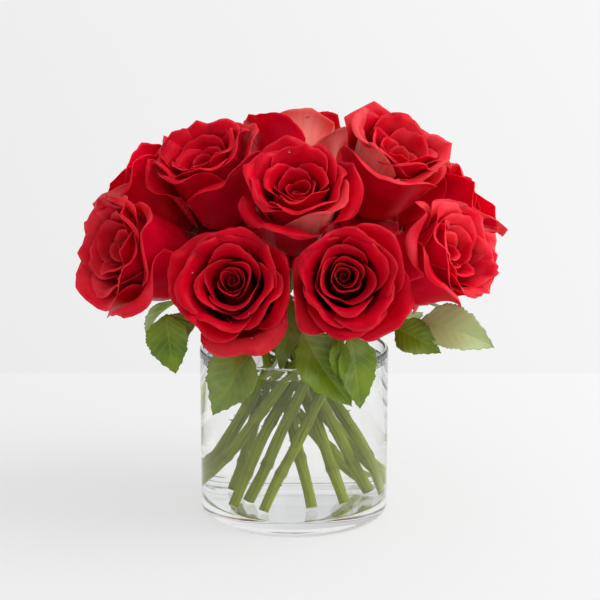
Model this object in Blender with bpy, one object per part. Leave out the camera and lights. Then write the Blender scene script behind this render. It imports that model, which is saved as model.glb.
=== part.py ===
# Twelve cut roses in a clear glass cylinder vase with water
# Run with: blender --background --python part.py

import math
import random

import bmesh
import bpy
from mathutils import Matrix, Vector

# Lengths below are in millimetres and angles in degrees; meshes are made in metres
MM = 0.001

# Vase and water
VASE_RADIUS = 63.5
VASE_HEIGHT = 113.5
VASE_WALL = 3.0
VASE_FLOOR = 10.0
FOOT_ROUND = 4.0
FLOOR_FILLET = 2.0
VASE_SIDES = 32
WATER_BELOW_RIM = 9.0
CLEARANCE = 0.3

# Stems: straight in the water, crossing low in the vase, then bending to their roses
STEM_SIDES = 6
STEM_RADIUS = 3.1
NECK_RADIUS = 2.5
HIP_RADIUS = 5.4
HIP_LENGTH = 12.0
CALYX_RADIUS = 6.6
# The hip under a rose: share of its length and its radius there
HIP = ((0.35, HIP_RADIUS), (0.75, HIP_RADIUS), (1.0, CALYX_RADIUS))
WAIST_HEIGHT = 90.0
# Each stem's foot on the vase's floor and its place at the waist, as x and y
STEM_LINES = {
    "left": ((26, 44), (-13.0, 16.5)),
    "front_left": ((-40, 32), (-18.9, -7.1)),
    "front_right": ((-47, 16), (-8.2, -20.4)),
    "right": ((-24, -9), (4.9, -16.7)),
    "right_back": ((-18, -36), (17.4, -13.6)),
    "back_right": ((28, -17), (1.3, 8.9)),
    "back_left": ((50, -4), (10.3, 19.4)),
    "left_back": ((44, 20), (-3.7, 21.5)),
    "centre_top": ((-36, -28), (-0.4, -0.1)),
    "top_right": ((-27, 20), (-13.8, 5.8)),
    "top_back": ((10, -26), (-7.0, 10.4)),
    "top_left": ((36, 10), (10.0, -6.6)),
}
NECK_PULL = 16.0
WAIST_PULL = 26.0
BEND_RINGS = 5
BORE_OVERRUN = 12.0

# Roses
BLOOM_HEIGHT = 59.0
BLOOM_STRETCH = 1.18
BLOOM_MIDDLE = 18.0
PETAL_THICKNESS = 1.0
WHORL_TURN = 40.0
PETAL_COLUMNS = 4
# The bud in the middle, as radius and height, on the round base that the petals grow from
CORE_SIDES = 6
CORE_PROFILE = ((0, 0), (7.6, 0), (12.5, 4.0), (5.8, 14), (4.8, 34), (0, 43))
# Whorls from the bud outwards: petals, share of the first and of the last, rows
WHORLS = ((2, 0.20, 0.32, 3), (3, 0.42, 0.64, 3), (5, 0.74, 1.0, 4))
TURN_SPREAD = 5.0
LENGTH_SPREAD = 0.03
ROLL_SPREAD = 0.6
TILT_SPREAD = 0.05
BLOOM_SPACING = 0.9
BLOOM_REACH = 84.0
PRESS_SOFTNESS = 3.0

# Name, face centre, way it faces (0 to the front, 90 to the right), lift, size, spin, seed
BLOOMS = (
    ("left", (-121, -36, 184), -55, 14, 1.06, 10, 17),
    ("front_left", (-39, -82, 171), -6, 24, 1.04, 0, 1),
    ("front_right", (35, -82, 173), 3, 16, 1.0, 40, 5),
    ("right", (112, -44, 185), 56, 22, 1.02, 200, 19),
    ("right_back", (126, 44, 210), 95, 35, 1.0, 150, 29),
    ("back_right", (52, 96, 189), 152, 26, 1.0, 80, 41),
    ("back_left", (-47, 98, 189), -155, 26, 1.0, 84, 37),
    ("left_back", (-112, 46, 222), -115, 38, 1.0, 102, 23),
    ("centre_top", (1, -49, 234), 0, 52, 1.02, 90, 7),
    ("top_right", (67, -2, 256), 40, 58, 1.06, 70, 13),
    ("top_back", (0, 52, 258), 180, 62, 1.02, 36, 52),
    ("top_left", (-63, 0, 249), -40, 62, 1.05, 50, 11),
)

# How a petal changes from the innermost (0) to the outermost (1)
PETAL_ROOT = (1.4, 6.5)
PETAL_RISE = (4.0, 0.5)
PETAL_LENGTH = ((0, 33), (0.25, 44), (0.5, 54), (0.8, 60), (1, 62))
PETAL_WRAP = ((0, 140), (0.15, 112), (0.3, 96), (0.5, 80), (0.75, 68), (1, 62))
PETAL_NARROW = 0.35
PETAL_WIDENED = 0.6
PETAL_MIN_RADIUS = 0.4
PROFILE_STEPS = 40
RIM_POWER = 2.6
ROLL_POWER = 1.3
ROLL_SPAN = 0.95
WAVES = 6.5
WAVE_ANGLE = 9.0
WAVE_START = 0.6
PETAL_DROOP = ((0, 0.14), (0.4, 0.22), (1, 0.34))
PETAL_ROLL = ((0, 2), (0.3, 8), (0.6, 22), (1, 50))
PETAL_ROLL_START = ((0, 0.85), (0.5, 0.80), (1, 0.74))
PETAL_RUFFLE = ((0, 0.1), (0.5, 0.6), (1, 1.3))
PETAL_SPIRAL = ((0, 0.2), (0.3, 0.05), (1, 0.02))
# Lean from the rose's axis at each share of the petal's length, and its random spread
PETAL_LEAN = (
    (0.0, ((0, 18), (0.25, 42), (0.5, 62), (1, 84)), 0.0),
    (0.20, ((0, 8), (0.25, 20), (0.5, 33), (1, 56)), 0.0),
    (0.45, ((0, -2), (0.25, -3), (0.5, 1), (0.8, 6), (1, 10)), 1.5),
    (0.72, ((0, -7), (0.25, -5), (0.5, 0), (0.75, 8), (1, 22)), 2.5),
    (0.90, ((0, -6), (0.25, 2), (0.5, 12), (0.75, 30), (1, 58)), 5.0),
    (1.0, ((0, 4), (0.25, 30), (0.5, 58), (0.75, 80), (1, 92)), 12.0),
)

# Leaves: the stem, the height on it, the stalk's points, and each leaflet's
# base, tip, width and the way its upper face looks
LEAVES = (
    ("left", 124, ((-62, -22, 133), (-82, -38, 143)), (
        ((-82, -39, 144), (-77, -47, 106), 30, (-0.3, -0.9, 0.3)),
        ((-64, -26, 134), (-98, -12, 116), 26, (-0.8, -0.2, 0.6)),
    )),
    ("front_left", 118, ((-27, -40, 125), (-28, -50, 126)), (
        ((-28, -52, 126), (-49, -58, 82), 32, (-0.4, -0.9, 0.2)),
    )),
    ("front_right", 120, ((6, -42, 134), (8, -52, 136), (26, -60, 134)), (
        ((5, -52, 136), (38, -62, 89), 34, (0.2, -0.9, 0.4)),
        ((36, -57, 135), (44, -58, 86), 30, (0.5, -0.8, 0.1)),
        ((28, -62, 133), (30, -69, 105), 14, (0.1, -0.9, 0.3)),
    )),
    ("right", 120, ((55, -27, 128), (82, -28, 136)), (
        ((82, -28, 137), (131, -34, 122), 34, (0.1, -0.75, 0.65)),
        ((66, -27, 132), (94, -45, 120), 24, (-0.2, -0.9, 0.3)),
        ((66, -26, 132), (96, -4, 118), 26, (0.5, 0.1, 0.8)),
    )),
    ("right_back", 120, ((60, 20, 129), (88, 31, 136)), (
        ((88, 31, 137), (126, 52, 112), 32, (0.6, 0.3, 0.7)),
        ((70, 25, 132), (84, 58, 114), 26, (0.3, 0.6, 0.7)),
    )),
    ("back_right", 118, ((28, 52, 127), (32, 72, 130)), (
        ((32, 72, 130), (42, 98, 92), 32, (0.2, 0.8, 0.5)),
        ((30, 62, 129), (60, 76, 108), 26, (0.5, 0.6, 0.6)),
        ((30, 62, 129), (4, 80, 106), 26, (-0.3, 0.7, 0.6)),
    )),
    ("back_left", 118, ((-20, 54, 127), (-32, 72, 130)), (
        ((-32, 72, 130), (-50, 94, 90), 32, (-0.3, 0.8, 0.5)),
        ((-28, 64, 129), (-62, 70, 108), 26, (-0.5, 0.5, 0.6)),
        ((-24, 62, 128), (2, 86, 164), 24, (0.3, 0.9, -0.2)),
    )),
    ("left_back", 122, ((-52, 38, 131), (-76, 48, 136)), (
        ((-76, 48, 136), (-108, 64, 110), 32, (-0.6, 0.3, 0.7)),
        ((-62, 42, 133), (-92, 22, 114), 26, (-0.7, -0.1, 0.7)),
    )),
    ("centre_top", 142, ((0, -14, 149), (-5, -24, 155)), (
        ((-5, -25, 155), (-9, -46, 108), 22, (-0.1, -0.9, 0.3)),
    )),
)
STALK_RADIUS = 1.1
# A leaflet's own short stalk: thickness beside the main one's, and how far it runs into the leaflet
JOINT_THICKNESS = 0.8
JOINT_REACH = 0.12
STALK_SIDES = 5
LEAF_SET_BACK = 0.1
LEAF_THICKNESS = 1.1
LEAF_ROWS = 8
TOOTH_DEPTH = 0.10
# Half width of a leaf, as a share of its widest, from the stalk (0) to the tip (1)
LEAF_OUTLINE = (
    (0, 0), (0.12, 0.6), (0.28, 0.94), (0.42, 1.0), (0.6, 0.84), (0.78, 0.5), (0.9, 0.22), (1, 0),
)
LEAF_ARCH = 0.05
LEAF_FOLD = 0.25
SEPALS = 5
SEPAL_ROWS = 2
SEPAL_LENGTH = 24.5
SEPAL_WIDTH = 7.5
SEPAL_DROP = 30.0
SEPAL_BELOW = 2.0
SEPAL_ROOT = 3.0
SEPAL_ARCH = 0.06
SEPAL_FOLD = 0.1

# Finishes from the photograph
RED_PETAL = ((0.45, 0.003, 0.012, 1.0), 0.55, 1.0)
GREEN_STEM = ((0.13, 0.22, 0.04, 1.0), 0.5, 1.0)
CLEAR_GLASS = ((0.95, 0.98, 0.97, 1.0), 0.03, 0.3)
CLEAR_WATER = ((0.93, 0.97, 0.96, 1.0), 0.02, 0.4)


def clear_scene():
    for thing in list(bpy.data.objects):
        bpy.data.objects.remove(thing, do_unlink=True)


def material(name, finish):
    colour, roughness, alpha = finish
    made = bpy.data.materials.new(name)
    made.use_nodes = True
    shader = made.node_tree.nodes["Principled BSDF"]
    shader.inputs["Base Color"].default_value = colour
    shader.inputs["Roughness"].default_value = roughness
    shader.inputs["Metallic"].default_value = 0.0
    shader.inputs["Alpha"].default_value = alpha
    return made


def keyed(keys, share):
    for (start, low), (end, high) in zip(keys, keys[1:]):
        if share <= end:
            part = max(0.0, (share - start) / (end - start))
            return low + (high - low) * part * part * (3 - 2 * part)
    return keys[-1][1]


def between(ends, share):
    return ends[0] + (ends[1] - ends[0]) * share


def facing(turn, lift):
    turn, lift = math.radians(turn), math.radians(lift)
    return Vector((math.sin(turn) * math.cos(lift), -math.cos(turn) * math.cos(lift), math.sin(lift)))


def make_object(name, bm, finish, place=None):
    for vert in bm.verts:
        vert.co *= MM
    mesh = bpy.data.meshes.new(name)
    bm.to_mesh(mesh)
    bm.free()
    mesh.materials.append(finish)
    mesh.shade_smooth()
    mesh.set_sharp_from_angle(angle=math.radians(45))
    made = bpy.data.objects.new(name, mesh)
    bpy.context.scene.collection.objects.link(made)
    if place is not None:
        made.matrix_world = place
    return made


# Shapes shared by the pieces

def lathe(profile, sides):
    bm = bmesh.new()
    verts = [bm.verts.new((radius, 0, height)) for radius, height in profile]
    edges = [bm.edges.new(pair) for pair in zip(verts, verts[1:])]
    bmesh.ops.spin(bm, geom=verts + edges, cent=(0, 0, 0), axis=(0, 0, 1),
                   angle=math.tau, steps=sides, use_merge=True)
    bmesh.ops.remove_doubles(bm, verts=bm.verts, dist=0.001)
    bmesh.ops.recalc_face_normals(bm, faces=bm.faces)
    return bm


def arc(centre, radius, start, end, steps):
    points = []
    for step in range(steps + 1):
        angle = math.radians(start + (end - start) * step / steps)
        points.append((centre[0] + radius * math.cos(angle), centre[1] + radius * math.sin(angle)))
    return points


def tube(route, radii, sides):
    bm = bmesh.new()
    rings = len(route) - 1
    bmesh.ops.create_grid(bm, x_segments=sides, y_segments=rings, size=1)
    sides_at, ups_at = ring_frames(route)
    for vert in bm.verts:
        turn = math.pi * vert.co.x
        ring = round((vert.co.y + 1) / 2 * rings)
        spoke = sides_at[ring] * math.cos(turn) + ups_at[ring] * math.sin(turn)
        vert.co = route[ring] + spoke * radii[ring]
    bmesh.ops.remove_doubles(bm, verts=bm.verts, dist=0.001)
    bmesh.ops.holes_fill(bm, edges=bm.edges, sides=sides)
    bmesh.ops.recalc_face_normals(bm, faces=bm.faces)
    return bm


def ring_frames(route):
    # Each ring is turned as little as it can be from the one before
    directions = []
    for index in range(len(route)):
        before = route[max(0, index - 1)]
        after = route[min(len(route) - 1, index + 1)]
        directions.append((after - before).normalized())
    side = directions[0].orthogonal().normalized()
    sides_at, ups_at = [], []
    for direction in directions:
        side = (side - direction * side.dot(direction)).normalized()
        sides_at.append(side.copy())
        ups_at.append(direction.cross(side))
    return sides_at, ups_at


def blade(point_at, columns, rows, thickness):
    # A closed thin blade with a sharp rim, whose two faces have the same triangles
    bm = bmesh.new()
    bmesh.ops.create_grid(bm, x_segments=columns, y_segments=rows, size=1)
    bmesh.ops.triangulate(bm, faces=bm.faces, quad_method="FIXED")
    cut_corners = [edge for edge in bm.edges
                   if not edge.is_boundary and all(vert.is_boundary for vert in edge.verts)]
    bmesh.ops.rotate_edges(bm, edges=cut_corners, use_ccw=False)
    for vert in bm.verts:
        vert.co = point_at(vert.co.x, (vert.co.y + 1) / 2)
    bm.normal_update()
    inner = [vert for vert in bm.verts if not vert.is_boundary]
    offsets = {vert: vert.normal * thickness / 2 for vert in inner}
    back = bmesh.ops.duplicate(bm, geom=bm.faces)
    copies = back["vert_map"]
    copied_faces = [item for item in back["geom"] if isinstance(item, bmesh.types.BMFace)]
    bmesh.ops.reverse_faces(bm, faces=copied_faces)
    for vert, offset in offsets.items():
        vert.co += offset
        copies[vert].co -= offset
    bmesh.ops.remove_doubles(bm, verts=bm.verts, dist=0.001)
    return bm


def fuse(core, pieces, solver="MANIFOLD"):
    group = bpy.data.collections.new(core.name + "_pieces")
    for piece in pieces:
        group.objects.link(piece)
    union = core.modifiers.new("fuse", "BOOLEAN")
    union.operation = "UNION"
    union.operand_type = "COLLECTION"
    union.collection = group
    union.solver = solver
    with bpy.context.temp_override(object=core, active_object=core, selected_objects=[core]):
        bpy.ops.object.modifier_apply(modifier=union.name)
    for piece in pieces:
        bpy.data.objects.remove(piece, do_unlink=True)
    bpy.data.collections.remove(group)
    keep_outer_shell(core)


def keep_outer_shell(thing):
    # Fusing can leave loose scraps and sealed pockets: only the largest shell stays, in triangles
    bm = bmesh.new()
    bm.from_mesh(thing.data)
    left = set(bm.faces)
    shells = []
    while left:
        shell = set()
        queue = [next(iter(left))]
        while queue:
            face = queue.pop()
            if face in shell:
                continue
            shell.add(face)
            queue.extend(other for edge in face.edges for other in edge.link_faces)
        left -= shell
        shells.append(shell)
    shells.sort(key=lambda shell: sum(face.calc_area() for face in shell), reverse=True)
    loose = [face for shell in shells[1:] for face in shell]
    bmesh.ops.delete(bm, geom=loose, context="FACES")
    bmesh.ops.triangulate(bm, faces=bm.faces, quad_method="SHORT_EDGE", ngon_method="EAR_CLIP")
    bm.to_mesh(thing.data)
    bm.free()


# Vase and water

def build_vase(glass):
    inner = VASE_RADIUS - VASE_WALL
    half_wall = VASE_WALL / 2
    profile = [(0, 0)]
    profile += arc((VASE_RADIUS - FOOT_ROUND, FOOT_ROUND), FOOT_ROUND, -90, 0, 2)
    profile += arc((VASE_RADIUS - half_wall, VASE_HEIGHT - half_wall), half_wall, 0, 180, 3)
    profile += arc((inner - FLOOR_FILLET, VASE_FLOOR + FLOOR_FILLET), FLOOR_FILLET, 0, -90, 2)
    profile += [(0, VASE_FLOOR)]
    return make_object("vase", lathe(profile, VASE_SIDES), glass)


def build_water(clear, bores):
    radius = VASE_RADIUS - VASE_WALL - CLEARANCE
    low = VASE_FLOOR + CLEARANCE
    top = VASE_HEIGHT - WATER_BELOW_RIM
    profile = [(0, low), (radius - FLOOR_FILLET, low), (radius, low + FLOOR_FILLET), (radius, top), (0, top)]
    water = make_object("water", lathe(profile, VASE_SIDES), clear)
    group = bpy.data.collections.new("bores")
    for bore in bores:
        group.objects.link(bore)
    cut = water.modifiers.new("bores", "BOOLEAN")
    cut.operation = "DIFFERENCE"
    cut.operand_type = "COLLECTION"
    cut.collection = group
    cut.solver = "EXACT"
    with bpy.context.temp_override(object=water, active_object=water, selected_objects=[water]):
        bpy.ops.object.modifier_apply(modifier=cut.name)
    for bore in bores:
        bpy.data.objects.remove(bore, do_unlink=True)
    bpy.data.collections.remove(group)
    return water


# Where each rose sits

def bloom_base(bloom):
    name, face, turn, lift, size, spin, seed = bloom
    return Vector(face) - facing(turn, lift) * BLOOM_HEIGHT * size


def bloom_place(bloom):
    name, face, turn, lift, size, spin, seed = bloom
    turned = facing(turn, lift).to_track_quat("Z", "Y").to_matrix().to_4x4()
    return Matrix.Translation(bloom_base(bloom) * MM) @ turned @ Matrix.Rotation(math.radians(spin), 4, "Z")


def bloom_middle(bloom):
    name, face, turn, lift, size, spin, seed = bloom
    return Vector(face) - facing(turn, lift) * BLOOM_MIDDLE * size


def pressing_planes(bloom, extra):
    # A plane midway to each near neighbour, as a point and a normal in the rose's own frame
    here = bloom_middle(bloom)
    inward = bloom_place(bloom).inverted().to_3x3()
    base = bloom_base(bloom)
    planes = []
    for other in BLOOMS:
        there = bloom_middle(other)
        apart = here - there
        if other[0] == bloom[0] or apart.length > BLOOM_REACH:
            continue
        share = bloom[4] / (bloom[4] + other[4])
        point = here - apart * share
        planes.append((inward @ (point - base), inward @ apart.normalized(), extra))
    return planes


def pressed(point, planes):
    # Points that near a plane crowd up against it and never cross it
    for origin, normal, gap in planes:
        depth = (point - origin).dot(normal) - gap
        kept = (depth + math.sqrt(depth * depth + PRESS_SOFTNESS ** 2)) / 2
        point = point + normal * (kept - depth)
    return point


# Roses

def petal_values(share, azimuth, size, seed):
    rng = random.Random(seed)
    lean = []
    for along, keys, spread in PETAL_LEAN:
        lean.append((along, keyed(keys, share) + rng.uniform(-spread, spread)))
    roll = keyed(PETAL_ROLL, share)
    return {
        "azimuth": math.radians(azimuth + rng.uniform(-TURN_SPREAD, TURN_SPREAD)),
        "root": between(PETAL_ROOT, share) * size,
        "rise": between(PETAL_RISE, share) * size,
        "length": keyed(PETAL_LENGTH, share) * (1 + rng.uniform(-LENGTH_SPREAD, LENGTH_SPREAD)) * size,
        "wrap": math.radians(keyed(PETAL_WRAP, share)),
        "lean": lean,
        "droop": keyed(PETAL_DROOP, share),
        "rolls": [roll * (1 + rng.uniform(-ROLL_SPREAD, ROLL_SPREAD)) for side in range(2)],
        "roll_start": keyed(PETAL_ROLL_START, share),
        "ruffle": keyed(PETAL_RUFFLE, share),
        "phase": rng.uniform(0, math.tau),
        "spiral": keyed(PETAL_SPIRAL, share),
        "tilt": rng.uniform(-TILT_SPREAD, TILT_SPREAD),
    }


def petal_profile(petal, across):
    # The petal's line at one share of its width, from root to rim, as radius and height
    outline = 1 - petal["droop"] * abs(across) ** RIM_POWER + petal["tilt"] * across
    step = petal["length"] * outline / PROFILE_STEPS
    side = math.sin(math.pi * abs(across) * ROLL_SPAN) ** ROLL_POWER
    roll = petal["rolls"][0 if across < 0 else 1] * side
    wave = petal["ruffle"] * WAVE_ANGLE * math.sin(across * WAVES + petal["phase"])
    radius, height = petal["root"], petal["rise"]
    line = [(radius, height)]
    for index in range(PROFILE_STEPS):
        along = (index + 0.5) / PROFILE_STEPS
        angle = keyed(petal["lean"], along * min(1.0, outline))
        angle += roll * keyed(((petal["roll_start"], 0), (1, 1)), max(along, petal["roll_start"]))
        angle += wave * keyed(((WAVE_START, 0), (1, 1)), max(along, WAVE_START))
        radius += math.sin(math.radians(angle)) * step
        height += math.cos(math.radians(angle)) * step * BLOOM_STRETCH
        line.append((radius, height))
    return line


def petal_surface(petal, planes):
    lines = {}

    def point_at(across, along):
        key = round(across, 5)
        if key not in lines:
            lines[key] = petal_profile(petal, across)
        line = lines[key]
        radius, height = line[round(along * (len(line) - 1))]
        radius = max(PETAL_MIN_RADIUS, radius) * (1 + petal["spiral"] * across)
        narrow = PETAL_NARROW + (1 - PETAL_NARROW) * keyed(((0, 0), (PETAL_WIDENED, 1)), along)
        if along == 0:
            across = 0.0
        turn = petal["azimuth"] + across * petal["wrap"] * narrow
        return pressed(Vector((radius * math.cos(turn), radius * math.sin(turn), height)), planes)

    return point_at


def bloom_core(bloom, red, place):
    size = bloom[4]
    profile = [(radius * size, height * size) for radius, height in CORE_PROFILE]
    return make_object("bloom_" + bloom[0], lathe(profile, CORE_SIDES), red, place)


def build_bloom(bloom, red):
    place = bloom_place(bloom)
    planes = pressing_planes(bloom, BLOOM_SPACING)
    core = bloom_core(bloom, red, place)
    petals = []
    for whorl, (count, first, last, rows) in enumerate(WHORLS):
        for index in range(count):
            share = between((first, last), index / (count - 1))
            azimuth = WHORL_TURN * whorl + 2 * 360 * index / count if count > 2 else 180 * index
            seed = bloom[6] * 100 + whorl * 10 + index
            petal = petal_values(share, azimuth, bloom[4], seed)
            shape = blade(petal_surface(petal, planes), PETAL_COLUMNS, rows, PETAL_THICKNESS)
            petals.append(make_object("petal", shape, red, place))
    fuse(core, petals)
    return core


# Stems, sepals and leaves

def stem_ends(bloom):
    foot_place, waist_place = STEM_LINES[bloom[0]]
    foot = Vector((*foot_place, VASE_FLOOR))
    waist = Vector((*waist_place, WAIST_HEIGHT))
    tilt = (waist - foot).angle(Vector((0, 0, 1)))
    foot.z += CLEARANCE + STEM_RADIUS * math.sin(tilt)
    return foot, waist


def stem_route(bloom):
    foot, waist = stem_ends(bloom)
    out = facing(bloom[2], bloom[3])
    neck = bloom_base(bloom) - out * (HIP_LENGTH + CLEARANCE)
    along = (waist - foot).normalized()
    first, last = waist + along * WAIST_PULL, neck - out * NECK_PULL
    route = [foot]
    for ring in range(BEND_RINGS + 1):
        t = ring / BEND_RINGS
        route.append(waist * (1 - t) ** 3 + first * 3 * t * (1 - t) ** 2
                     + last * 3 * t * t * (1 - t) + neck * t ** 3)
    radii = [STEM_RADIUS, STEM_RADIUS]
    radii += [between((STEM_RADIUS, NECK_RADIUS), ring / BEND_RINGS) for ring in range(1, BEND_RINGS + 1)]
    for share, radius in HIP:
        route.append(neck + out * HIP_LENGTH * share)
        radii.append(radius)
    return route, radii


def route_point(route, height):
    for low, high in zip(route, route[1:]):
        if low.z <= height <= high.z:
            return low.lerp(high, (height - low.z) / (high.z - low.z))
    return route[-1].copy()


def nearest_on(route, point):
    found = []
    for low, high in zip(route, route[1:]):
        along = high - low
        share = min(1.0, max(0.0, (point - low).dot(along) / along.length_squared))
        found.append(low + along * share)
    return min(found, key=lambda place: (place - point).length)


def leaf_surface(base, tip, width, upper, arch, fold, teeth):
    length = (tip - base).length
    along_way = (tip - base).normalized()
    normal = (upper - along_way * upper.dot(along_way)).normalized()
    side = along_way.cross(normal)

    def point_at(across, along):
        half = width / 2 * keyed(LEAF_OUTLINE, along)
        if teeth and round(along * LEAF_ROWS) % 2:
            half *= 1 + TOOTH_DEPTH
        centre = base.lerp(tip, along) + normal * arch * length * 4 * along * (1 - along)
        return centre + side * across * half + normal * abs(across) * half * fold

    return point_at


def build_sepals(bloom, green):
    out = facing(bloom[2], bloom[3])
    top = bloom_base(bloom) - out * (CLEARANCE + SEPAL_BELOW)
    side = out.orthogonal().normalized()
    sepals = []
    for index in range(SEPALS):
        turn = Matrix.Rotation(math.tau * index / SEPALS + math.radians(bloom[5]), 3, out)
        spoke = turn @ side
        base = top + spoke * SEPAL_ROOT
        drop = math.radians(SEPAL_DROP)
        tip = top + (spoke * math.cos(drop) - out * math.sin(drop)) * SEPAL_LENGTH
        surface = leaf_surface(base, tip, SEPAL_WIDTH, out, SEPAL_ARCH, SEPAL_FOLD, False)
        sepals.append(make_object("sepal", blade(surface, 2, SEPAL_ROWS, LEAF_THICKNESS), green))
    return sepals


def build_leaf(leaf, route, green):
    name, height, points, leaflets = leaf
    pieces = []
    stalk = [route_point(route, height)] + [Vector(point) for point in points]
    radii = [STALK_RADIUS] * len(stalk)
    pieces.append(make_object("stalk", tube(stalk, radii, STALK_SIDES), green))
    for base, tip, width, upper in leaflets:
        base, tip, upper = Vector(base), Vector(tip), Vector(upper)
        nearest = nearest_on(stalk, base)
        if (nearest - base).length > STALK_RADIUS:
            joint = [nearest, base.lerp(tip, JOINT_REACH)]
            thin = [STALK_RADIUS * JOINT_THICKNESS] * 2
            pieces.append(make_object("stalk", tube(joint, thin, STALK_SIDES), green))
        else:
            base = nearest.lerp(stalk[-2], LEAF_SET_BACK)
        surface = leaf_surface(base, tip, width, upper, LEAF_ARCH, LEAF_FOLD, True)
        pieces.append(make_object("leaflet", blade(surface, 2, LEAF_ROWS, LEAF_THICKNESS), green))
    return pieces


def build_stem(bloom, green):
    route, radii = stem_route(bloom)
    foot = route[0]
    shape = tube([point - foot for point in route], radii, STEM_SIDES)
    stem = make_object("stem_" + bloom[0], shape, green, Matrix.Translation(foot * MM))
    pieces = build_sepals(bloom, green)
    for leaf in LEAVES:
        if leaf[0] == bloom[0]:
            pieces += build_leaf(leaf, route, green)
    fuse(stem, pieces)
    return stem


def stem_bore(bloom, clear):
    # The stem's own line and thickness with the clearance round it, from under its foot
    route, radii = stem_route(bloom)
    along = (route[1] - route[0]).normalized()
    route[0] = route[0] - along * BORE_OVERRUN
    widened = [radius + CLEARANCE for radius in radii]
    return make_object("bore", tube(route, widened, STEM_SIDES), clear)


def main():
    clear_scene()
    red = material("rose_petal", RED_PETAL)
    green = material("stem_green", GREEN_STEM)
    glass = material("vase_glass", CLEAR_GLASS)
    clear = material("vase_water", CLEAR_WATER)
    vase = build_vase(glass)
    water = build_water(clear, [stem_bore(bloom, clear) for bloom in BLOOMS])
    water.parent = vase
    for bloom in BLOOMS:
        stem = build_stem(bloom, green)
        stem.parent = vase
        rose = build_bloom(bloom, red)
        rose.parent = stem
        rose.matrix_parent_inverse = Matrix.Translation(-stem.location)


main()
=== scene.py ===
import math
import random

import bmesh
import bpy
from mathutils import Matrix, Vector, noise


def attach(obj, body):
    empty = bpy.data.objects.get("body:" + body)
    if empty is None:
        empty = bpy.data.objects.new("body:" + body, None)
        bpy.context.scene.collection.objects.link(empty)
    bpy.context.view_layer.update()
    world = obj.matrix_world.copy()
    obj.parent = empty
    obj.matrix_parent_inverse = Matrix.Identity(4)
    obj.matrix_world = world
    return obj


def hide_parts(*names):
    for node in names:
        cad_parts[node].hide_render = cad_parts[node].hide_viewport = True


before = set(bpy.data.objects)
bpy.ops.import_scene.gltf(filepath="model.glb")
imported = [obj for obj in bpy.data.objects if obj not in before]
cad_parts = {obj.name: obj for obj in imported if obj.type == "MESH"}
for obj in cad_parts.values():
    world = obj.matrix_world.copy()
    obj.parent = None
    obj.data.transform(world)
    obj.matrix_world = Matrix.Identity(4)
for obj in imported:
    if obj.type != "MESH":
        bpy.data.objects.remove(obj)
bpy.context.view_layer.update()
mm = 0.001  # lengths below are in millimetres unless a note says otherwise
print("frame loaded:", len(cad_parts), "nodes")


# small helpers

def between(ends, share):
    return ends[0] + (ends[1] - ends[0]) * share


def keyed(keys, share):
    # eased value at a share between (share, value) pairs
    for (start, low), (end, high) in zip(keys, keys[1:]):
        if share <= end:
            part = max(0.0, (share - start) / (end - start))
            return low + (high - low) * part * part * (3 - 2 * part)
    return keys[-1][1]


def eased(share, start, end=1.0):
    # 0 up to the start and 1 from the end on
    return keyed(((start, 0), (end, 1)), share)


def facing(turn, lift):
    # unit vector: turn 0 looks to the front, 90 to the right; lift 90 is straight up
    turn, lift = math.radians(turn), math.radians(lift)
    return Vector((math.sin(turn) * math.cos(lift), -math.cos(turn) * math.cos(lift), math.sin(lift)))


def pointing(direction):
    # turns +Z to the direction
    return direction.to_track_quat("Z", "Y").to_matrix().to_4x4()


def feed(node, inputs):
    # each input, by name or number, takes a number, a colour or another node's socket
    for key, value in inputs.items():
        socket = node.inputs[key]
        if hasattr(value, "links"):
            node.id_data.links.new(value, socket)
        else:
            socket.default_value = (*value, 1) if socket.type == "RGBA" else value


def addNode(tree, kind, inputs=None, **settings):
    node = tree.nodes.new(kind)
    for key, value in settings.items():
        setattr(node, key, value)
    feed(node, inputs or {})
    return node


# the first value of each of these is a socket, which knows its own tree

def sums(operation, first, *others):
    inputs = dict(enumerate((first, *others)))
    return addNode(first.id_data, "ShaderNodeMath", inputs, operation=operation).outputs[0]


def times(first, *others):
    for other in others:
        first = sums("MULTIPLY", first, other)
    return first


def fromHalf(value):
    # how far a value from 0 to 1 is off 0.5
    return sums("ABSOLUTE", sums("SUBTRACT", value, 0.5))


def rescale(value, low, high, toLow=0.0, toHigh=1.0):
    inputs = {"Value": value, "From Min": low, "From Max": high, "To Min": toLow, "To Max": toHigh}
    node = addNode(value.id_data, "ShaderNodeMapRange", inputs, interpolation_type="SMOOTHSTEP")
    return node.outputs["Result"]


def ramp(value, stops):
    node = addNode(value.id_data, "ShaderNodeValToRGB", {0: value})
    marks = node.color_ramp.elements
    marks[0].position, marks[0].color = stops[0][0], (*stops[0][1], 1)
    marks[1].position, marks[1].color = stops[-1][0], (*stops[-1][1], 1)
    for place, colour in stops[1:-1]:
        marks.new(place).color = (*colour, 1)
    return node.outputs[0]


def blendColours(share, first, second):
    inputs = {0: share, 6: first, 7: second}
    return addNode(share.id_data, "ShaderNodeMix", inputs, data_type="RGBA").outputs[2]


def patches(place, scale, detail=3.0):
    # noise on a coordinate socket, 0 to 1
    inputs = {"Vector": place, "Scale": scale, "Detail": detail}
    return addNode(place.id_data, "ShaderNodeTexNoise", inputs).outputs["Fac"]


def streaked(place, stretch, detail=3.0):
    # the same, drawn out one way
    mapping = addNode(place.id_data, "ShaderNodeMapping", {"Vector": place, "Scale": stretch})
    return patches(mapping.outputs["Vector"], 1.0, detail)


def relief(height, strength, distance):
    inputs = {"Height": height, "Strength": strength, "Distance": distance}
    return addNode(height.id_data, "ShaderNodeBump", inputs).outputs["Normal"]


def splitUp(place):
    return addNode(place.id_data, "ShaderNodeSeparateXYZ", {0: place}).outputs


def newMaterial(name):
    made = bpy.data.materials.new(name)
    made.use_nodes = True
    return made, made.node_tree, made.node_tree.nodes["Principled BSDF"]


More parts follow.
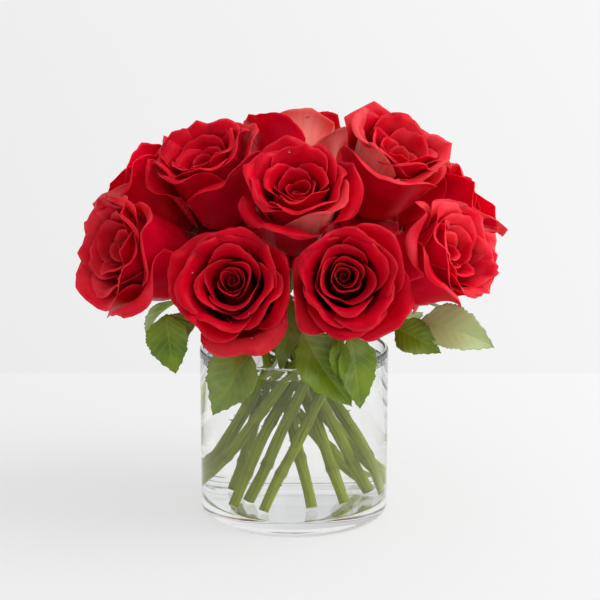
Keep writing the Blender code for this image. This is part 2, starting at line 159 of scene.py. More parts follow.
def uvParts(tree, mapName):
    # a piece's UV map, and its two coordinates by themselves
    uv = addNode(tree, "ShaderNodeUVMap", uv_map=mapName).outputs[0]
    return uv, *splitUp(uv)[:2]


def objectPlace(tree):
    return addNode(tree, "ShaderNodeTexCoord").outputs["Object"]


def attributeValue(tree, name):
    return addNode(tree, "ShaderNodeAttribute", attribute_name=name).outputs["Fac"]


def startMesh(mapName, *marks):
    # a bmesh with one UV map, and a number on every vertex for each mark
    bm = bmesh.new()
    bm.loops.layers.uv.new(mapName)
    return bm, {mark: bm.verts.layers.float.new(mark) for mark in marks}


def addGrid(bm, columns, rows):
    # a sheet from -1 to 1 both ways, and 0 to 1 on its UV map
    return bmesh.ops.create_grid(bm, x_segments=columns, y_segments=rows, size=1, calc_uvs=True)["verts"]


def finishMesh(name, bm, materials, smooth=True):
    mesh = bpy.data.meshes.new(name)
    for vert in bm.verts:
        vert.co *= mm
    bm.to_mesh(mesh)
    bm.free()
    for item in materials:
        mesh.materials.append(item)
    if smooth:
        mesh.shade_smooth()
    made = bpy.data.objects.new(name, mesh)
    bpy.context.scene.collection.objects.link(made)
    return made


def thicken(thing, thickness, back=0, rim=0):
    solid = thing.modifiers.new("thickness", "SOLIDIFY")
    solid.thickness = thickness * mm
    solid.offset = 0
    solid.material_offset = back
    solid.material_offset_rim = rim


# Rose petals

petalLook = {
    # on the face, the darker root colour is a painted shade deep in the cup
    "face": {"root": (0.42, 0.0, 0.004), "middle": (0.50, 0.0, 0.006), "rim": (0.59, 0.0, 0.014),
        "edge": (0.78, 0.06, 0.085), "paleSheen": (0.95, 0.10, 0.11), "paleSheenShare": 0.9,
        "sheen": 0.05, "paintedLightShare": 1.0},
    "back": {"root": (0.56, 0.002, 0.009), "middle": (0.50, 0.0, 0.012), "rim": (0.60, 0.0, 0.020),
        "edge": (0.85, 0.05, 0.08), "paleSheen": (1.0, 0.27, 0.23), "paleSheenShare": 1.25,
        "sheen": 0.03, "paintedLightShare": 0.0},
    # the rim is as the back, but for these colours, lighter towards the tip: a painted highlight on the cut
    # edges
    "rim": {"root": (0.5, 0.002, 0.01), "middle": (0.60, 0.004, 0.02), "rim": (0.72, 0.01, 0.03)},
    # each side's edge colour is a painted highlight along the petal's rim
    "paintedLight": (1.0, 0.075, 0.095), "bruise": (0.06, 0.004, 0.008), "rimHighlightShare": 0.4, "veins": 0.30,
    # patterns on the petal's own map, and patches to the metre
    "streaks": (34, 2.2, 1), "fine": (120, 5, 1), "cloud": 55.0, "paintedLightPatch": 38.0,
    "rimHighlightPatch": 130.0, "spotPatch": 160.0, "relief": (0.4, 0.0003), "roughness": (0.28, 0.44),
    "gloss": 0.06, "sheenTint": (1.0, 0.12, 0.18),
    "glow": 0.45, "glowDepth": 1.6, "glowColours": (1.0, 0.12, 0.10),
}


def petalMaterial(name, look):
    made, tree, shader = newMaterial(name)
    uv, u, v = uvParts(tree, "petal")
    place, own = objectPlace(tree), petalLook
    streaks = streaked(uv, own["streaks"])
    fine = streaked(uv, own["fine"], 2.0)
    cloud = patches(place, own["cloud"])
    # on the faces the colour darkens towards the root, a painted shade deep in the cup
    colour = ramp(v, ((0.0, look["root"]), (0.45, look["middle"]), (0.95, look["rim"])))
    # pale streaked patches on the petals marked for them: partly the petals' own paler colour, partly a
    # painted satin highlight
    paleSheen = times(rescale(v, 0.3, 1.2, 1.0, 0.45), rescale(streaks, 0.25, 0.65, 0.75, 1.0))
    paleSheen = times(paleSheen, attributeValue(tree, "paleSheen"), look["paleSheenShare"])
    colour = blendColours(paleSheen, colour, look["paleSheen"])
    # a painted pink highlight towards the rim, in patches, on the roses marked for it
    paintedLight = rescale(patches(place, own["paintedLightPatch"], 2.0), 0.35, 0.65)
    paintedLight = times(paintedLight, rescale(v, 0.5, 1.0, 0.0, look["paintedLightShare"]))
    colour = blendColours(times(paintedLight, attributeValue(tree, "paintedLight")), colour, own["paintedLight"])
    # a thin painted highlight along the edge, broken here and there
    edge = sums("MAXIMUM", rescale(fromHalf(u), 0.475, 0.5), rescale(v, 0.965, 1.0))
    broken = patches(place, own["rimHighlightPatch"], 2.0)
    edge = times(edge, rescale(broken, 0.35, 0.65, 0.25, 0.8))
    colour = blendColours(times(edge, own["rimHighlightShare"]), colour, look["edge"])
    # dark dry spots at the outer petals' tips
    spot = rescale(patches(place, own["spotPatch"], 2.0), 0.52, 0.66)
    colour = blendColours(times(spot, attributeValue(tree, "dry")), colour, own["bruise"])
    light = sums("MULTIPLY_ADD", sums("SUBTRACT", fine, 0.5), own["veins"], 1.0)
    light = times(light, rescale(cloud, 0.3, 0.7, 0.86, 1.12))
    # the inner petals, darkened by painted shade, keep a painted highlight on their rim
    toneLightShade = sums("MAXIMUM", attributeValue(tree, "toneLightShade"), times(edge, 0.7))
    # the colour is scaled by the veins and cloud, and by the tone, which carries painted shade and light
    inputs = {0: colour, "Scale": times(light, toneLightShade)}
    paintedBrightness = addNode(tree, "ShaderNodeVectorMath", inputs, operation="SCALE")
    feed(shader, {
        "Base Color": paintedBrightness.outputs[0],
        "Roughness": rescale(cloud, 0.25, 0.75, *own["roughness"]),
        "Normal": relief(fine, *own["relief"]),
        "Specular IOR Level": own["gloss"],
        "Sheen Weight": look["sheen"], "Sheen Roughness": 0.4, "Sheen Tint": own["sheenTint"],
        "Subsurface Weight": own["glow"], "Subsurface Radius": own["glowColours"],
        "Subsurface Scale": own["glowDepth"] * mm,
    })
    return made


petalFace = petalMaterial("petal_face", petalLook["face"])
petalBack = petalMaterial("petal_back", petalLook["back"])
petalRim = petalMaterial("petal_rim", {**petalLook["back"], **petalLook["rim"]})
print("petal materials made")


# Roses: face centre, way it faces as turn and lift, size, spin about its own axis and seed. Where
# one isn't as usual: how pale the backs of its outer petals are, partly with painted sheen, how
# much longer and wider a petal is, where petals droop under it, turned from its lowest side,
# whether short petals back the outer ones, how far its heart is moved to the right and up, and
# how much painted light it gets, as a pink highlight on its faces and as brightness overall

bloomUsual = {
    "size": 1.0, "paleSheen": {}, "scaled": {}, "guards": (), "backed": True, "heart": (0, 0),
    "paintedLight": 0.0, "paintedBrightness": 1.0,
}

blooms = {
    "left": {"face": (-121, -36, 184), "way": (-55, 14), "size": 1.06, "spin": 10, "seed": 17,
        "scaled": {1: (1.04, 1.2), 4: (1.0, 1.15)}, "guards": (100, 150, 180), "heart": (0, 9),
        "paintedLight": 0.3, "paintedBrightness": 1.1},
    "front_left": {"face": (-39, -82, 171), "way": (-6, 24), "size": 1.04, "spin": 0, "seed": 1,
        "paleSheen": {4: 0.4}, "heart": (-2, 10)},
    "front_right": {"face": (35, -82, 173), "way": (3, 16), "spin": 40, "seed": 5,
        "paleSheen": {3: 0.15}, "heart": (-3, 7)},
    "right": {"face": (112, -44, 185), "way": (56, 22), "size": 1.02, "spin": 200, "seed": 19,
        "guards": (110, 150, 180, -150, -110), "heart": (-5, 8), "paintedLight": 0.55, "paintedBrightness": 1.35},
    "right_back": {"face": (126, 44, 210), "way": (95, 35), "spin": 150, "seed": 29,
        "paleSheen": {0: 0.3}, "scaled": {0: (1.05, 0.9)}, "guards": (-120, -60, 0, 60, 180),
        "paintedLight": 0.8, "paintedBrightness": 1.5},
    "back_right": {"face": (52, 96, 189), "way": (152, 26), "spin": 80, "seed": 41,
        "paleSheen": {1: 0.3, 3: 0.4}},
    "back_left": {"face": (-47, 98, 189), "way": (-155, 26), "spin": 84, "seed": 37,
        "paleSheen": {3: 0.4}},
    "left_back": {"face": (-112, 46, 222), "way": (-115, 38), "spin": 102, "seed": 23,
        "paleSheen": {1: 0.5}, "guards": (-60, 0, 60), "paintedBrightness": 1.3},
    "centre_top": {"face": (1, -49, 234), "way": (0, 52), "size": 1.02, "spin": 90, "seed": 7,
        "paleSheen": {1: 0.7}, "scaled": {4: (0.98, 1.25)}, "guards": (-80, -40, 0, 40, 80), "heart": (3, 5),
        "paintedBrightness": 1.1},
    "top_right": {"face": (67, -2, 256), "way": (40, 58), "size": 1.06, "spin": 70, "seed": 13,
        "paleSheen": {0: 0.9, 1: 0.6}, "scaled": {0: (1.08, 1.3), 2: (1.0, 1.15), 3: (1.0, 1.3)},
        "guards": (-100, -50, 0, 50, 100), "heart": (11, 1), "paintedLight": 0.4, "paintedBrightness": 1.25},
    "top_back": {"face": (0, 52, 258), "way": (180, 62), "size": 1.02, "spin": 36, "seed": 52,
        "paleSheen": {0: 1.0, 3: 0.7}, "scaled": {0: (0.93, 1.35), 3: (1.0, 1.15)}, "guards": (-40, 40),
        "backed": False, "paintedBrightness": 1.3},
    "top_left": {"face": (-63, 0, 249), "way": (-40, 62), "size": 1.05, "spin": 50, "seed": 11,
        "paleSheen": {2: 0.2}, "guards": (-100, -50, 0, 50, 100), "paintedBrightness": 1.08},
}
blooms = {name: {**bloomUsual, **bloom} for name, bloom in blooms.items()}

roseShape = {
    "height": 59.0, "stretch": 1.18, "middle": 18.0, "whorlTurn": 40.0, "goldenTurn": 137.5,
    "reach": 84.0, "softness": 3.0, "gap": 0.35, "gapInside": 1.6,
    "innerPetals": 15, "innerLast": 0.69, "innerCrowd": 1.15, "innerSpread": (-0.06, 0.03), "innerTilt": 1.8,
    "outerPetals": 5, "outerShares": (0.74, 1.0), "outerWhorl": 2, "backing": 0.71, "backingTurn": 36.0,
    "heartFade": 0.8, "heartReach": 42.0, "guardLength": 37.0,
    "guardLean": ((0.0, 85), (0.45, 97), (0.72, 112), (0.90, 128), (1.0, 140)),
    "thickness": 0.38, "columns": 26, "rows": 20, "steps": 60,
}

# keys run from the innermost petal, 0, to the outermost, 1; lean has the angle out from the rose's
# axis at each share of the petal's length, and how far it wanders from petal to petal
petalShape = {
    "root": (1.4, 6.5), "rise": (4.0, 0.5), "narrow": 0.35, "narrowEnd": 0.6, "minRadius": 0.4,
    "length": ((0, 29), (0.25, 40), (0.5, 52), (0.7, 59), (0.8, 60), (1, 62)),
    "wrap": ((0, 140), (0.15, 112), (0.3, 96), (0.5, 80), (0.75, 68), (1, 62)),
    "droop": ((0, 0.14), (0.4, 0.22), (1, 0.34)),
    "roll": ((0, 2), (0.3, 8), (0.6, 22), (1, 50)),
    "rollStart": ((0, 0.85), (0.5, 0.80), (1, 0.74)),
    "ruffle": ((0, 0.1), (0.5, 0.8), (0.8, 1.6), (1, 2.0)),
    "spiral": ((0, 0.2), (0.3, 0.05), (1, 0.02)),
    "lean": (
        (0.0, ((0, 18), (0.25, 42), (0.5, 62), (1, 84)), 0.0),
        (0.20, ((0, 8), (0.25, 20), (0.5, 33), (1, 56)), 0.0),
        (0.45, ((0, -2), (0.25, -3), (0.5, 1), (0.8, 6), (1, 10)), 1.5),
        (0.72, ((0, -7), (0.25, -5), (0.5, 0), (0.75, 8), (1, 22)), 2.5),
        (0.90, ((0, -6), (0.25, 2), (0.5, 12), (0.75, 30), (1, 58)), 5.0),
        (1.0, ((0, 4), (0.25, 30), (0.5, 58), (0.75, 80), (1, 92)), 12.0),
    ),
    "rimPower": 2.6, "rollPower": 1.3, "rollWidth": 0.95, "waves": 6.5, "waveAngle": 9.0, "waveStart": 0.6,
    "turnSpread": 5.0, "lengthSpread": 0.03, "rollSpread": 0.6, "tiltSpread": 0.05,
    "cusp": (0.01, 0.035), "cuspWidth": 0.09, "nick": (0.006, 0.030), "nickWaves": (5.0, 7.0, 13.0),
    "nickNoise": (0.7, 2.2, 4), "crease": (0.1, 0.5), "creaseWaves": (2.6, 3.0, 31.0),
    # tone differs at random from petal to petal; depth darkens the inner petals, a painted shade deep in the
    # heart
    "toneLightShade": (0.9, 1.06), "depth": ((0, 0.8), (0.3, 0.9), (0.6, 0.98), (1, 1.0)),
    "dry": (0.1, 0.5), "dryFrom": 0.7, "dryChance": 0.4, "dryTip": 0.9,
}


def bloomPoint(bloom, below="height"):
    # on the rose's axis: its base, or its middle
    return Vector(bloom["face"]) - facing(*bloom["way"]) * roseShape[below] * bloom["size"]


def bloomPlace(bloom):
    spin = Matrix.Rotation(math.radians(bloom["spin"]), 4, "Z")
    return Matrix.Translation(bloomPoint(bloom)) @ pointing(facing(*bloom["way"])) @ spin


def pressingPlanes(bloom):
    # a plane midway to each near neighbour, in the rose's own frame
    here, base = bloomPoint(bloom, "middle"), bloomPoint(bloom)
    inward = bloomPlace(bloom).inverted().to_3x3()
    planes = []
    for other in blooms.values():
        apart = here - bloomPoint(other, "middle")
        if other is bloom or apart.length > roseShape["reach"]:
            continue
        point = here - apart * bloom["size"] / (bloom["size"] + other["size"])
        planes.append((inward @ (point - base), inward @ apart.normalized()))
    return planes


def pressed(point, planes, gap):
    # petals crowd up against a neighbour and never cross into it
    for origin, normal in planes:
        depth = (point - origin).dot(normal) - gap
        kept = (depth + math.sqrt(depth * depth + roseShape["softness"] ** 2)) / 2
        point = point + normal * (kept - depth)
    return point


def petalValues(share, azimuth, size, seed):
    # a petal's own shape and colours, with painted shade on the inner ones, from how far out it stands
    rng, shape = random.Random(seed), petalShape

    def at(key):
        return keyed(shape[key], share)

    def wander(key):
        return rng.uniform(-shape[key], shape[key])

    return {
        "share": share,
        "lean": [(along, keyed(keys, share) + rng.uniform(-off, off)) for along, keys, off in shape["lean"]],
        "azimuth": math.radians(azimuth + wander("turnSpread")),
        "root": between(shape["root"], share) * size,
        "rise": between(shape["rise"], share) * size,
        "length": at("length") * (1 + wander("lengthSpread")) * size,
        "wrap": math.radians(at("wrap")),
        "rolls": [at("roll") * (1 + wander("rollSpread")) for side in range(2)],
        "phase": rng.uniform(0, math.tau),
        "tilt": wander("tiltSpread"),
        # a random tone, darkened on the inner petals by painted shade
        "toneLightShade": rng.uniform(*shape["toneLightShade"]) * at("depth"),
        "paleSheen": 0.0,
        "dry": (rng.uniform(*shape["dry"])
                if share > shape["dryFrom"] and rng.random() < shape["dryChance"] else 0.0),
        **{key: at(key) for key in ("droop", "rollStart", "ruffle", "spiral")},
    }


def petalProfile(petal, across):
    # the petal's line at one share of its width, from root to rim, as radius and height
    shape, steps, share = petalShape, roseShape["steps"], petal["share"]
    outline = 1 - petal["droop"] * abs(across) ** shape["rimPower"] + petal["tilt"] * across
    outline += between(shape["cusp"], share) * math.exp(-(across / shape["cuspWidth"]) ** 2)
    waves = shape["nickWaves"]
    place = (across * waves[0], petal["phase"] * waves[1], share * waves[2])
    outline += between(shape["nick"], share) * noise.fractal(place, *shape["nickNoise"])
    step = petal["length"] * outline / steps
    side = math.sin(math.pi * abs(across) * shape["rollWidth"]) ** shape["rollPower"]
    roll = petal["rolls"][0 if across < 0 else 1] * side
    wave = petal["ruffle"] * shape["waveAngle"] * math.sin(across * shape["waves"] + petal["phase"])
    radius, height = petal["root"], petal["rise"]
    line = [(radius, height)]
    for index in range(steps):
        along = (index + 0.5) / steps
        angle = keyed(petal["lean"], along * min(1.0, outline))
        angle += roll * eased(along, petal["rollStart"])
        angle += wave * eased(along, shape["waveStart"])
        radius += math.sin(math.radians(angle)) * step
        height += math.cos(math.radians(angle)) * step * roseShape["stretch"]
        line.append((radius, height))
    return line


def addPetal(bm, petal, planes, layers):
    shape, share = petalShape, petal["share"]
    gap = roseShape["gap"] + roseShape["gapInside"] * (1 - share)
    waves = shape["creaseWaves"]
    lines = {}
    for vert in addGrid(bm, roseShape["columns"], roseShape["rows"]):
        across, along = vert.co.x, (vert.co.y + 1) / 2
        key = round(across, 5)
        if key not in lines:
            lines[key] = petalProfile(petal, across)
        line = lines[key]
        mark = along * (len(line) - 1)
        index = min(len(line) - 2, int(mark))
        radius, height = (between(pair, mark - index) for pair in zip(line[index], line[index + 1]))
        radius = max(shape["minRadius"], radius) * (1 + petal["spiral"] * across)
        crease = noise.noise((across * waves[0] + petal["phase"], along * waves[1], share * waves[2]))
        radius += crease * between(shape["crease"], share) * along * along * 2
        narrow = shape["narrow"] + (1 - shape["narrow"]) * eased(along, 0, shape["narrowEnd"])
        turn = petal["azimuth"] + across * petal["wrap"] * narrow
        spot = Vector((radius * math.cos(turn), radius * math.sin(turn), height))
        spot += petal["heart"] * eased(height / roseShape["heartReach"], 0)
        vert.co = pressed(spot, planes, gap)
        for kind in ("toneLightShade", "paleSheen", "paintedLight"):
            vert[layers[kind]] = petal[kind]
        vert[layers["dry"]] = petal["dry"] * eased(along, shape["dryTip"])


def bloomPetals(bloom):
    # the outer five keep the solid's own petals; the inner ones follow the golden angle
    seed, size, shape = bloom["seed"] * 100, bloom["size"], roseShape
    inner, outer = shape["innerPetals"], shape["outerPetals"]
    start = shape["whorlTurn"] * shape["outerWhorl"]
    petals = []
    for index in range(inner):
        share = shape["innerLast"] * (index / (inner - 1)) ** shape["innerCrowd"]
        petal = petalValues(share, shape["goldenTurn"] * index, size, seed + 50 + index)
        petal["length"] *= 1 + random.Random(seed + 150 + index).uniform(*shape["innerSpread"])
        petal["tilt"] *= shape["innerTilt"]
        petals.append(petal)
    for index in range(outer):
        share = between(shape["outerShares"], index / (outer - 1))
        petal = petalValues(share, start + 720 * index / outer, size, seed + shape["outerWhorl"] * 10 + index)
        petal["paleSheen"] = bloom["paleSheen"].get(index, 0.0)
        longer, wider = bloom["scaled"].get(index, (1.0, 1.0))
        petal["length"] *= longer
        petal["wrap"] *= wider
        petals.append(petal)
    for index in range(outer if bloom["backed"] else 0):
        # shorter petals behind the gaps of the outer ones
        azimuth = start + shape["backingTurn"] + 360 * index / outer
        petals.append(petalValues(shape["backing"], azimuth, size, seed + 200 + index))
    inward = bloomPlace(bloom).inverted().to_3x3()
    down = inward @ Vector((0, -0.5, -1))
    lowest = math.degrees(math.atan2(down.y, down.x))
    for index, turn in enumerate(bloom["guards"]):
        petal = petalValues(1.0, lowest + turn, size, seed + 80 + index)
        petal["length"] = shape["guardLength"] * size
        petal["lean"] = shape["guardLean"]
        petals.append(petal)
    right, up = bloom["heart"]
    heart = inward @ Vector((right, 0, up))
    heart.z = 0
    for petal in petals:
        petal["heart"] = heart * (1 - shape["heartFade"] * petal["share"])
        # painted light for each rose: a pink highlight on its faces and a brightness on all its petals
        petal["paintedLight"] = bloom["paintedLight"]
        petal["toneLightShade"] *= bloom["paintedBrightness"]
    return petals


dewShape = {"perRose": 14, "size": (0.45, 1.1), "nearRim": 0.45, "proud": 0.3, "flat": 0.6, "glint": 1.0}
dewSpots = []


def dewPlaces(bm, seed):
    # spots on the petals' faces, on the half nearer to the rim
    rng, shape = random.Random(seed + 900), dewShape
    bm.normal_update()
    uvs = bm.loops.layers.uv["petal"]
    faces = [face for face in bm.faces if face.loops[0][uvs].uv.y > shape["nearRim"]]
    spots = []
    for face in rng.sample(faces, shape["perRose"]):
        size = between(shape["size"], rng.random() ** 2)
        proud = face.normal * (roseShape["thickness"] / 2 + size * shape["proud"])
        spots.append((face.calc_center_median() - proud, face.normal.copy(), size))
    return spots


def makeBloom(name, bloom):
    bm, layers = startMesh("petal", "toneLightShade", "dry", "paleSheen", "paintedLight")
    planes = pressingPlanes(bloom)
    for petal in bloomPetals(bloom):
        addPetal(bm, petal, planes, layers)
    bmesh.ops.transform(bm, matrix=bloomPlace(bloom), verts=bm.verts)
    dewSpots.extend(dewPlaces(bm, bloom["seed"]))
    thing = finishMesh("rose_" + name, bm, (petalBack, petalFace, petalRim))
    thicken(thing, roseShape["thickness"], back=1, rim=2)
    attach(thing, "root")
    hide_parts("bloom_" + name)


for name, bloom in blooms.items():
    makeBloom(name, bloom)
print("roses made:", len(blooms))


# Stems, sepals and leaves

stemLook = {
    "top": (0.14, 0.21, 0.015), "low": (0.37, 0.45, 0.03), "dark": (0.09, 0.14, 0.008),
    "scar": (0.24, 0.12, 0.04), "cut": (0.80, 0.76, 0.45), "fade": (0.02, 0.17),
    "streaks": (16, 5, 1), "blotch": 90.0, "gloss": 0.12, "relief": (0.3, 0.0003),
}

leafLook = {
    "paintedSheen": (0.42, 0.50, 0.22), "paintedSheenShare": 0.5, "paintedSheenPatch": 26.0, "cloud": 70.0, "net": 420.0,
    "sideVeins": 8.0, "veinSlant": 2.4, "gloss": 0.25, "coatRoughness": 0.35,
    "glow": 0.08, "glowColours": (0.3, 1.0, 0.1), "relief": (0.35, -0.00035),
}

# body, dark patches, veins, how plain the veins are, roughness and coat
leafSkins = {
    "leaf_face": ((0.17, 0.26, 0.006), (0.085, 0.16, 0.003), (0.28, 0.38, 0.05), 0.4, 0.36, 0.15),
    "leaf_back": ((0.42, 0.50, 0.22), (0.17, 0.26, 0.006), (0.28, 0.38, 0.05), 0.8, 0.6, 0.0),
    "sepal_skin": ((0.20, 0.24, 0.04), (0.17, 0.26, 0.006), (0.48, 0.46, 0.22), 0.4, 0.55, 0.0),
}


def stemMaterial():
    made, tree, shader = newMaterial("stem_skin")
    place, look = objectPlace(tree), stemLook
    colour = rescale(splitUp(place)[2], *look["fade"])
    colour = ramp(colour, ((0.0, look["low"]), (1.0, look["top"])))
    streaks = streaked(addNode(tree, "ShaderNodeUVMap", uv_map="stem").outputs[0], look["streaks"])
    blotch = patches(place, look["blotch"])
    for share, tint in (
        (rescale(streaks, 0.40, 0.68, 0.0, 0.6), "dark"),
        (rescale(blotch, 0.55, 0.75, 0.0, 0.35), "scar"),
        (attributeValue(tree, "scar"), "scar"),
        (attributeValue(tree, "cut"), "cut"),
    ):
        colour = blendColours(share, colour, look[tint])
    feed(shader, {
        "Base Color": colour, "Roughness": rescale(blotch, 0.3, 0.7, 0.32, 0.5),
        "Specular IOR Level": look["gloss"], "Normal": relief(streaks, *look["relief"]),
    })
    return made


def leafMaterial(name, body, dark, vein, plain, rough, coat):
    made, tree, shader = newMaterial(name)
    u, v = uvParts(tree, "leaf")[1:]
    place, look = objectPlace(tree), leafLook
    side = times(fromHalf(u), 2.0)
    cloud = patches(place, look["cloud"])
    colour = blendColours(rescale(cloud, 0.35, 0.7), body, dark)
    # side veins run out and forward from the midrib, with a fine net between them
    run = sums("MULTIPLY_ADD", v, look["sideVeins"], times(side, -look["veinSlant"]))
    sideVein = rescale(fromHalf(sums("FRACT", run)), 0.03, 0.10, 1.0, 0.0)
    midrib = rescale(side, 0.015, 0.07, 1.0, 0.0)
    inputs = {"Vector": place, "Scale": look["net"]}
    net = addNode(tree, "ShaderNodeTexVoronoi", inputs, feature="DISTANCE_TO_EDGE").outputs["Distance"]
    lines = sums("MAXIMUM", midrib, times(sideVein, 0.75))
    lines = sums("MAXIMUM", lines, times(rescale(net, 0.0, 0.12, 1.0, 0.0), 0.18))
    colour = blendColours(times(lines, plain), colour, vein)
    # a painted sheen, pale in broad patches, and all over on the leaflets marked for it
    paintedSheenShare = rescale(patches(place, look["paintedSheenPatch"], 2.0), 0.45, 0.7, 0.0, look["paintedSheenShare"])
    paintedSheenShare = sums("MAXIMUM", paintedSheenShare, attributeValue(tree, "paintedSheen"))
    feed(shader, {
        "Base Color": blendColours(paintedSheenShare, colour, look["paintedSheen"]),
        "Roughness": rescale(cloud, 0.3, 0.7, rough - 0.06, rough + 0.08),
        "Specular IOR Level": look["gloss"],
        "Coat Weight": coat, "Coat Roughness": look["coatRoughness"],
        "Subsurface Weight": look["glow"], "Subsurface Radius": look["glowColours"],
        "Subsurface Scale": mm, "Normal": relief(lines, *look["relief"]),
    })
    return made


stemSkin = stemMaterial()
leafFace, leafBack, sepalSkin = [leafMaterial(name, *skin) for name, skin in leafSkins.items()]
print("green materials made")

stemShape = {
    "sides": 20, "radius": 3.1, "neckRadius": 2.5, "hipLength": 12.0,
    "hip": ((0, 2.5), (0.45, 5.4), (0.75, 5.292), (1, 6.6)),
    "waistHeight": 90.0, "neckPull": 16.0, "waistPull": 26.0, "clearance": 0.3, "floor": 10.0,
    "straightRings": 40, "bendRings": 26, "hipRings": 14, "cutRim": 0.12,
    "knots": ((0.30, 0.6), (0.74, 0.45)), "knotLength": 0.024, "knotSpread": 0.09,
    "waver": 0.5, "waverTurns": 7, "swell": 0.03, "swellTurns": 17, "scar": 0.8,
    "thorns": 3, "thornLength": 2.2, "thornWidth": 0.7, "thornTip": 0.08, "thornDroop": 0.35, "thornOut": 0.3,
}

# each stem's foot on the vase's floor and its place at the waist, as x and y
stemLines = {
    "left": ((26, 44), (-13.0, 16.5)),
    "front_left": ((-40, 32), (-18.9, -7.1)),
    "front_right": ((-47, 16), (-8.2, -20.4)),
    "right": ((-24, -9), (4.9, -16.7)),
    "right_back": ((-18, -36), (17.4, -13.6)),
    "back_right": ((28, -17), (1.3, 8.9)),
    "back_left": ((50, -4), (10.3, 19.4)),
    "left_back": ((44, 20), (-3.7, 21.5)),
    "centre_top": ((-36, -28), (-0.4, -0.1)),
    "top_right": ((-27, 20), (-13.8, 5.8)),
    "top_back": ((10, -26), (-7.0, 10.4)),
    "top_left": ((36, 10), (10.0, -6.6)),
}

# height on the stem, points along the stalk, and each leaflet's base, tip, width and upper side; where given,
# how much painted sheen covers each leaflet
leaves = {
    "left": {"height": 124, "stalk": ((-62, -22, 133), (-82, -38, 143)), "leaflets": (
        ((-82, -39, 144), (-77, -47, 106), 30, (-0.3, -0.9, 0.3)),
        ((-64, -26, 134), (-98, -12, 116), 26, (-0.4, -0.75, 0.5)))},
    "front_left": {"height": 118, "stalk": ((-27, -40, 125), (-28, -50, 126)), "leaflets": (
        ((-29, -52, 126), (-53, -58, 82), 36, (-0.4, -0.9, 0.2)),), "paintedSheen": {0: 0.25}},
    "front_right": {"height": 120, "stalk": ((6, -42, 134), (8, -52, 136), (26, -60, 134)), "leaflets": (
        ((5, -52, 136), (38, -62, 89), 34, (0.2, -0.9, 0.4)),
        ((36, -57, 135), (44, -58, 86), 30, (0.5, -0.8, 0.1)),
        ((28, -62, 133), (30, -69, 105), 14, (0.1, -0.9, 0.3)))},
    "right": {"height": 120, "stalk": ((55, -27, 128), (82, -28, 136)), "leaflets": (
        ((82, -28, 137), (131, -34, 122), 34, (0.1, -0.75, 0.65)),
        ((66, -27, 132), (94, -45, 120), 24, (-0.2, -0.9, 0.3)),
        ((66, -26, 132), (96, -4, 118), 26, (0.5, 0.1, 0.8))), "paintedSheen": {0: 0.9}},
    "right_back": {"height": 120, "stalk": ((60, 20, 129), (88, 31, 136)), "leaflets": (
        ((88, 31, 137), (126, 52, 112), 32, (0.6, 0.3, 0.7)),
        ((70, 25, 132), (84, 58, 114), 26, (0.3, 0.6, 0.7)))},
    "back_right": {"height": 118, "stalk": ((28, 52, 127), (32, 72, 130)), "leaflets": (
        ((32, 72, 130), (42, 98, 92), 32, (0.2, 0.8, 0.5)),
        ((30, 62, 129), (60, 76, 108), 26, (0.5, 0.6, 0.6)),
        ((30, 62, 129), (4, 80, 106), 26, (-0.3, 0.7, 0.6)))},
    "back_left": {"height": 118, "stalk": ((-20, 54, 127), (-32, 72, 130)), "leaflets": (
        ((-32, 72, 130), (-50, 94, 90), 32, (-0.3, 0.8, 0.5)),
        ((-28, 64, 129), (-62, 70, 108), 26, (-0.5, 0.5, 0.6)),
        ((-24, 62, 128), (2, 86, 164), 24, (0.3, 0.9, -0.2)))},
    "left_back": {"height": 122, "stalk": ((-52, 38, 131), (-76, 48, 136)), "leaflets": (
        ((-76, 48, 136), (-108, 64, 110), 32, (-0.6, 0.3, 0.7)),
        ((-62, 42, 133), (-92, 22, 114), 26, (-0.7, -0.1, 0.7)))},
    "centre_top": {"height": 142, "stalk": ((0, -14, 149), (-5, -24, 155)), "leaflets": (
        ((-5, -25, 155), (-9, -46, 108), 22, (-0.1, -0.9, 0.3)),)},
}

leafShape = {
    "outline": (
        (0, 0), (0.06, 0.3), (0.16, 0.68), (0.28, 0.94), (0.42, 1.0), (0.6, 0.84), (0.78, 0.5), (0.9, 0.22),
        (1, 0),
    ),
    "columns": 20, "rows": 54, "teeth": 18, "arch": 0.05, "fold": 0.25, "thickness": 0.35,
    "quilt": 0.35, "cup": 0.9, "curl": 1.5,
}

sepalShape = {
    "outline": ((0, 0.55), (0.15, 1.0), (0.4, 0.8), (0.7, 0.36), (0.9, 0.14), (1, 0.05)),
    "columns": 8, "rows": 24, "teeth": 0, "arch": 0.06, "fold": 0.1, "thickness": 0.45,
    "quilt": 0.0, "cup": 0.0, "curl": 5.0,
    "count": 5, "length": 24.5, "lengthSpread": (0.92, 1.05), "width": 7.5, "drop": (30.0, 76.0),
    "dropSpread": (-8, 14), "upright": 30.0, "below": 2.3, "root": 3.0,
}

# leaves and sepals alike
bladeShape = {"sway": 0.06, "toothDepth": 0.07, "toothPeak": 0.35, "toothPull": 0.12, "cupWaves": (9, 1.5)}

stalkShape = {
    "radius": 0.85, "root": 1.5, "pieces": 8, "sides": 10, "joint": 0.8, "jointTip": 0.3, "jointSides": 8,
}


